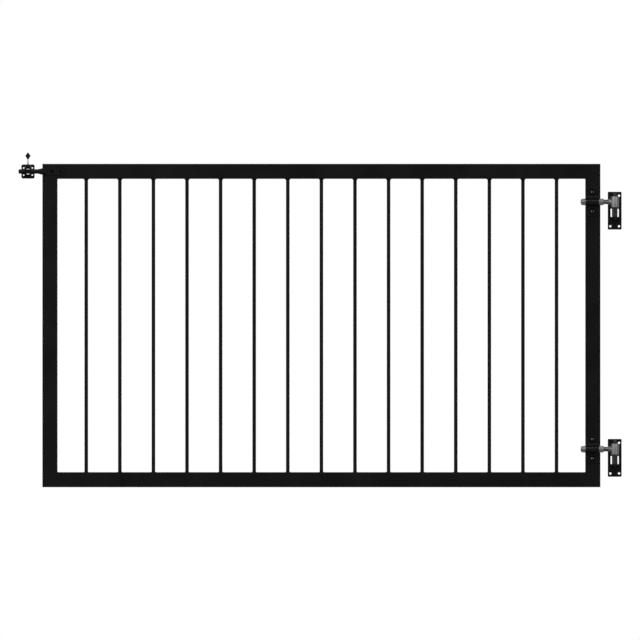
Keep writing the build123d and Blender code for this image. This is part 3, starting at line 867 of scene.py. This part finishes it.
# The rod's neck next to the barrel gets painted shade, which dims its highlight.
zinc_with_painted_neck_shade = zinc_plating("zinc_plating_with_painted_neck_shade")
shade_on_barrel = 0.004
shade_start = eye_radius - shade_on_barrel
shade_middle = (shade_start + neck_end) / 2
shade_half_width = (neck_end - shade_start) / 2
painted_shade_band(zinc_with_painted_neck_shade, -shade_middle, shade_half_width, fade=0.0015, share=0.58)
hinge_places = {
    "Start": (0, eye_y, 0),
    "Count": 1,
    "Step": (0, 0, 0),
    "Rows": 2,
    "Row Step": (0, 0, hinge_rise),
    "Turn": (0, 0, 0),
    "Seed": 1,
}
eye_barrels = grown(
    "eye_barrels", as_mesh("one_eye_barrel", one_barrel), rows, {**hinge_places, "Finish": barrel_zinc}
)
eye_rods = grown(
    "eye_rods",
    as_mesh("one_eye_rod", lathe(rod_rings, sides=60), along_x()),
    rows,
    {**hinge_places, "Finish": zinc_with_painted_neck_shade},
)
for piece in (eye_barrels, eye_rods):
    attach(piece, "leaf")
    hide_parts("lower_eye_bolt", "upper_eye_bolt")


# Eye nuts, washers and cap nuts: a hexagon nut and washer clamp the strap on the post side, and a domed
# cap nut and washer close the rod's end on the inner side. All are zinc plated.
nut_low, nut_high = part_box("lower_eye_nut")
nut_flats = nut_high.z - nut_low.z
nut_length = nut_high.x - nut_low.x
nut_room = 0.0001
nut_mouth_depth = 0.0009
nut_bore = rod_radius + nut_room
nut_mouth = rod_radius + nut_mouth_depth
nut_rings = [
    (nut_mouth, 0.0),
    *nut_outside(nut_flats, 0.0, -nut_length),
    (nut_mouth, -nut_length),
    (nut_bore, nut_mouth_depth - nut_length),
    (nut_bore, -nut_mouth_depth),
]
eye_nuts = grown(
    "eye_nuts",
    as_mesh("one_eye_nut", lathe(nut_rings, sides=72, closed=True), along_x((nut_low.x, 0, 0))),
    rows,
    {**hinge_places, "Finish": zinc},
)

eye_washers_low, eye_washers_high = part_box("lower_eye_washers")
strap_low, strap_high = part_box("lower_hinge_strap")
eye_washer_thickness = eye_washers_high.x - strap_high.x
eye_washer_radius = (eye_washers_high.z - eye_washers_low.z) / 2
eye_washer_room = 0.0002
eye_washer_bore = rod_radius + eye_washer_room
eye_washer_rings = flat_ring(eye_washer_radius, eye_washer_bore, eye_washer_thickness, ease=0.0004)
eye_washer = lathe(eye_washer_rings, sides=64, closed=True)
eye_washers = grown(
    "eye_washers",
    as_mesh("one_eye_washer", eye_washer, along_x((strap_low.x, 0, 0))),
    rows,
    {**hinge_places, "Count": 2, "Step": (eye_washers_high.x - strap_low.x, 0, 0), "Finish": zinc},
)

cap_low, cap_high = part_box("lower_cap_nut")
cap_hex = 0.0095
cap_depth = 0.011
cap_waist = 0.0003
cap_dome = 0.0103
cap_dome_foot = cap_hex + cap_waist
cap_dome_top = cap_high.x - cap_low.x
dome_steps = 10
dome_leans = [math.radians(90 * step / dome_steps) for step in range(1, dome_steps)]
cap_rings = [
    (0, cap_depth),
    (nut_bore, cap_depth),
    (nut_bore, 0.0),
    *nut_outside(nut_flats, 0.0, cap_hex),
    (cap_dome, cap_dome_foot),
    *[
        (cap_dome * math.cos(lean), cap_dome_foot + (cap_dome_top - cap_dome_foot) * math.sin(lean))
        for lean in dome_leans
    ],
    (0, cap_dome_top),
]
cap_nuts = grown(
    "cap_nuts",
    as_mesh("one_cap_nut", lathe(cap_rings, sides=72), along_x((cap_high.x, 0, 0))),
    rows,
    {**hinge_places, "Finish": zinc},
)
for piece, kind in ((eye_nuts, "eye_nut"), (eye_washers, "eye_washers"), (cap_nuts, "cap_nut")):
    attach(piece, "leaf")
    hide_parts(f"lower_{kind}", f"upper_{kind}")


# Post plates: pressed steel plates screwed to the post, each with a window whose tongue is bent out as
# a shelf for the hinge pin. They are dipped in the straps' semi-gloss black.
for side in hinges:
    node = f"{side}_post_plate"
    eased(f"{side}_pressed_plate", node, edge=0.0007, finish=black_coat, body="post_fittings")


# Hinge pins: turned pins with a shoulder that carries the eye, riveted through the shelf of the plate.
# They are dipped black like the plate, and the turned surface under the dip gives a higher gloss.
pin_coat = dipped_coat(
    "glossy_black_coat", sheen=0.085, smoothest=0.12, roughest=0.16, darkest=0.004, lightest=0.005
)
pin_low, pin_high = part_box("lower_hinge_pin")
pin_radius = 0.007
pin_crown = 0.004
pin_stem_radius = (pin_high.x - pin_low.x) / 2
pin_shoulder_gap = 0.0003
pin_shoulder = eye_low.z - pin_shoulder_gap
pin_shoulder_ease = 0.0008
pin_foot_ease = 0.0005
rivet_radius = 0.006
rivet_height = 0.003
rivet_round = 0.0015
rivet_tail_radius = 0.005
shelf_thickness = 0.004
shelf_under = pin_low.z + rivet_height
shelf_top = shelf_under + shelf_thickness
shoulder_round_middle = (pin_stem_radius - pin_shoulder_ease, pin_shoulder - pin_shoulder_ease)
pin_rings = [
    (0, pin_low.z),
    *arc((rivet_radius - rivet_round, pin_low.z + rivet_round), rivet_round, -90, 0, steps=5),
    (rivet_radius, shelf_under),
    (rivet_tail_radius, shelf_under),
    (rivet_tail_radius, shelf_top),
    (pin_stem_radius - pin_foot_ease, shelf_top),
    (pin_stem_radius, shelf_top + pin_foot_ease),
    *arc(shoulder_round_middle, pin_shoulder_ease, 0, 90, steps=4),
    (pin_radius, pin_shoulder),
    *arc((pin_radius - pin_crown, pin_high.z - pin_crown), pin_crown, 0, 90, steps=7),
    (0, pin_high.z),
]
hinge_pins = grown(
    "turned_hinge_pins",
    as_mesh("one_hinge_pin", lathe(pin_rings, sides=48)),
    rows,
    {**hinge_places, "Finish": pin_coat},
)
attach(hinge_pins, "post_fittings")
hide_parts("lower_hinge_pin", "upper_hinge_pin")


# Latch case: a plate with four screw holes and a sight hole behind the bar, and two cheeks whose open
# throats take the striker. It is pressed and dipped like the hinge fittings.
eased("pressed_latch_case", "latch_case", edge=0.0005, finish=black_coat, body="post_fittings")


# Latch pivot and stem: bright turned steel. The pivot is a rivet through both cheeks, and the stem is a
# thin tapered rod screwed into the pawl, whose black dip has crept up the stem's foot.
def bright_steel(name):
    """Grey turned steel with fine tool marks."""
    material, tree, shader = finish_nodes(name)
    shader.inputs["Metallic"].default_value = 1.0
    drawn = grain(tree, scale=900.0, detail=3.0)
    cloud = grain(tree, scale=120.0, detail=3.0)
    tree.links.new(between(tree, cloud, low=0.09, high=0.14), shader.inputs["Base Color"])
    tree.links.new(between(tree, drawn, low=0.3, high=0.42), shader.inputs["Roughness"])
    roughen(tree, shader, drawn, depth=0.00003, strength=0.25)
    return material


def dipped_foot(material, black_up_to, bright_from):
    """Blackens a finish below one height, and leaves it as it is above another."""
    tree = material.node_tree
    target = tree.nodes["Principled BSDF"].inputs["Base Color"]
    bright = target.links[0].from_socket
    height = coordinate(tree, "Z")
    rise = graded(tree, height, black_up_to, bright_from, low=0.0, high=1.0, kind="LINEAR")
    share = tree.nodes.new("ShaderNodeMix")
    share.data_type = "RGBA"
    share.inputs["A"].default_value = (0.002, 0.002, 0.002, 1)
    tree.links.new(rise, share.inputs["Factor"])
    tree.links.new(bright, share.inputs["B"])
    tree.links.new(share.outputs["Result"], target)


pivot_low, pivot_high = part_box("latch_pivot")
pivot_place = (pivot_high.x, (pivot_low.y + pivot_high.y) / 2, (pivot_low.z + pivot_high.z) / 2)
pivot_length = pivot_high.x - pivot_low.x
pivot_radius = 0.0025
pivot_head = (pivot_high.z - pivot_low.z) / 2
pivot_head_height = 0.0016
pivot_head_round = 0.0012
pivot_round_at = pivot_head - pivot_head_round
pivot_rings = [
    (0, 0.0),
    *arc((pivot_round_at, pivot_head_round), pivot_head_round, -90, 0, steps=5),
    (pivot_head, pivot_head_height),
    (pivot_radius, pivot_head_height),
    (pivot_radius, pivot_length - pivot_head_height),
    (pivot_head, pivot_length - pivot_head_height),
    *arc((pivot_round_at, pivot_length - pivot_head_round), pivot_head_round, 0, 90, steps=5),
    (0, pivot_length),
]
pivot_data = as_mesh("riveted_pivot", lathe(pivot_rings, sides=40), along_x(pivot_place))
pivot_data.materials.append(bright_steel("turned_bright_steel"))
riveted_pivot = shown("riveted_pivot", pivot_data)
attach(riveted_pivot, "post_fittings")
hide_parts("latch_pivot")

stem_low, stem_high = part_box("latch_stem")
knob_low, knob_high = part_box("latch_knob")
stem_place = ((stem_low.x + stem_high.x) / 2, (stem_low.y + stem_high.y) / 2, 0)
pawl_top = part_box("latch_pawl")[1].z
stem_base = (stem_high.x - stem_low.x) / 2
stem_tip = 0.0015
stem_foot_ease = 0.0003
stem_foot_height = 0.0012
stem_foot_slope = 0.0004
tang_radius = 0.002
dip_height = 0.004
dip_fade = 0.004
stem_rings = [
    (0, stem_low.z),
    (tang_radius, stem_low.z),
    (tang_radius, pawl_top),
    (stem_base - stem_foot_ease, pawl_top),
    (stem_base, pawl_top + stem_foot_ease),
    (stem_base, pawl_top + stem_foot_height),
    (stem_base - stem_foot_slope, pawl_top + stem_foot_height + stem_foot_slope),
    (stem_tip, knob_low.z),
    (stem_tip, stem_high.z),
    (0, stem_high.z),
]
stem_data = as_mesh("tapered_stem", lathe(stem_rings, sides=32), Matrix.Translation(stem_place))
stem_steel = bright_steel("half_dipped_steel")
dipped_foot(stem_steel, pawl_top + dip_height, pawl_top + dip_height + dip_fade)
stem_data.materials.append(stem_steel)
tapered_stem = shown("tapered_stem", stem_data)
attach(tapered_stem, "latch_lever")
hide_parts("latch_stem")


# Pawl and knob: the pawl hangs between the cheeks and drops in front of the striker; the knob is turned
# to a diamond and screwed on the stem. Both are dipped black.
eased("latch_pawl_eased", "latch_pawl", edge=0.0004, finish=black_coat, body="latch_lever")

knob_radius = (knob_high.x - knob_low.x) / 2
knob_middle = (knob_low.z + knob_high.z) / 2
knob_foot = 0.0024
knob_foot_ease = 0.0003
knob_tip = 0.0008
knob_tip_ease = 0.0003
knob_tip_slope = 0.0006
knob_tip_crown = 0.0001
knob_socket = 0.0016
knob_socket_depth = 0.0051
knob_socket_top = knob_low.z + knob_socket_depth
knob_waist = 0.0006
knob_waist_ease = 0.0004
knob_waist_slope = 0.0005
knob_rings = [
    (0, knob_socket_top),
    (knob_socket, knob_socket_top),
    (knob_socket, knob_low.z),
    (knob_foot - knob_foot_ease, knob_low.z),
    (knob_foot, knob_low.z + knob_foot_ease),
    (knob_radius - knob_waist_ease, knob_middle - knob_waist - knob_waist_slope),
    (knob_radius, knob_middle - knob_waist / 2),
    (knob_radius, knob_middle + knob_waist / 2),
    (knob_radius - knob_waist_ease, knob_middle + knob_waist + knob_waist_slope),
    (knob_tip + knob_tip_ease, knob_high.z - knob_tip_slope),
    (knob_tip, knob_high.z - knob_tip_crown),
    (0, knob_high.z),
]
knob_data = as_mesh("diamond_knob", lathe(knob_rings, sides=48), Matrix.Translation(stem_place))
knob_data.materials.append(black_coat)
diamond_knob = shown("diamond_knob", knob_data)
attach(diamond_knob, "latch_lever")
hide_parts("latch_knob")


# Floor: a pale round sheet under the gate, below the foot of the picture, that fades out at its rim.
# It takes the gate's shadow in the views from above.
def pale_floor(fade_start, fade_end):
    """Pale matt sheet, seen whole up to one distance from its middle and no more from another."""
    material, tree, shader = finish_nodes("pale_floor")
    shader.inputs["Roughness"].default_value = 0.9
    shader.inputs["Specular IOR Level"].default_value = 0.1
    cloud = grain(tree, scale=1.5, detail=3.0)
    tree.links.new(between(tree, cloud, low=0.64, high=0.65), shader.inputs["Base Color"])
    place = tree.nodes.new("ShaderNodeTexCoord")
    reach = tree.nodes.new("ShaderNodeVectorMath")
    reach.operation = "LENGTH"
    tree.links.new(place.outputs["Object"], reach.inputs[0])
    kept = graded(tree, reach.outputs["Value"], fade_start, fade_end, low=1.0, high=0.0)
    tree.links.new(kept, shader.inputs["Alpha"])
    return material


floor_radius = 3.0
floor_fade = 1.35
floor_drop = 0.62
floor_shape = bmesh.new()
bmesh.ops.create_circle(floor_shape, cap_ends=True, segments=96, radius=floor_radius)
floor = shown("floor", as_mesh("floor", floor_shape))
floor.location = (leaf_middle.x, 0, leaf_low.z - floor_drop)
floor.data.materials.append(pale_floor(floor_fade, floor_radius))


# Studio: a white room that the eye and the bright metal see, with soft light from all round. Two tall
# lamps in front draw the streaks on the barrels, one above draws those on the straps, and one behind
# lights the back.
def white_room(strength):
    """A world that lights the gate at a strength, and shows white to the eye and to mirrors and glass."""
    world = bpy.data.worlds.new("white_room")
    world.use_nodes = True
    tree = world.node_tree
    light = tree.nodes["Background"]
    light.inputs["Color"].default_value = (1, 1, 1, 1)
    light.inputs["Strength"].default_value = strength
    seen = tree.nodes.new("ShaderNodeBackground")
    seen.inputs["Color"].default_value = (1, 1, 1, 1)
    seen.inputs["Strength"].default_value = 1.0
    rays = tree.nodes.new("ShaderNodeLightPath").outputs
    looked_at = tree.nodes.new("ShaderNodeMath")
    looked_at.operation = "ADD"
    either = tree.nodes.new("ShaderNodeMath")
    either.operation = "ADD"
    either.use_clamp = True
    chosen = tree.nodes.new("ShaderNodeMixShader")
    tree.links.new(rays["Is Camera Ray"], looked_at.inputs[0])
    tree.links.new(rays["Is Glossy Ray"], looked_at.inputs[1])
    tree.links.new(looked_at.outputs["Value"], either.inputs[0])
    tree.links.new(rays["Is Transmission Ray"], either.inputs[1])
    tree.links.new(either.outputs["Value"], chosen.inputs["Fac"])
    tree.links.new(light.outputs["Background"], chosen.inputs[1])
    tree.links.new(seen.outputs["Background"], chosen.inputs[2])
    tree.links.new(chosen.outputs["Shader"], tree.nodes["World Output"].inputs["Surface"])
    return world


def soft_lamp(name, turn, rise, width, height, power, distance=9.0):
    """A large lamp aimed at the leaf, turn degrees to the right of the camera and rise above it."""
    lamp = bpy.data.lights.new(name, "AREA")
    lamp.shape = "RECTANGLE"
    lamp.size = width
    lamp.size_y = height
    lamp.energy = power
    holder = bpy.data.objects.new(name, lamp)
    bpy.context.scene.collection.objects.link(holder)
    side = math.radians(turn)
    up = math.radians(rise)
    away = Vector((math.sin(side) * math.cos(up), -math.cos(side) * math.cos(up), math.sin(up)))
    holder.location = leaf_middle + away * distance
    holder.rotation_mode = "QUATERNION"
    holder.rotation_quaternion = away.to_track_quat("Z", "Y")


bpy.context.scene.world = white_room(strength=0.3)
soft_lamp("left_lamp", turn=-34, rise=12, width=2.0, height=8.0, power=800)
soft_lamp("right_lamp", turn=51, rise=12, width=1.6, height=8.0, power=480)
soft_lamp("top_lamp", turn=0, rise=38, width=6.0, height=1.2, power=700)
soft_lamp("back_lamp", turn=180, rise=55, width=6.0, height=2.4, power=270)


# Camera: straight in front of the leaf, framed as in the photograph. It has a very long lens and stands
# so far away that nothing converges, as nothing does there.
photo_width = 2.1333
photo_middle = Vector((-0.98231, 0, 0.43042))
camera_distance = 90.0
camera_data = bpy.data.cameras.new("camera")
camera_data.lens = camera_data.sensor_width * camera_distance / photo_width
camera_data.clip_end = 400
camera = bpy.data.objects.new("camera", camera_data)
bpy.context.scene.collection.objects.link(camera)
camera.location = photo_middle + Vector((0, leaf_low.y - camera_distance, 0))
camera.rotation_euler = (math.pi / 2, 0, 0)
bpy.context.scene.camera = camera
bpy.context.scene.view_settings.view_transform = "Standard"
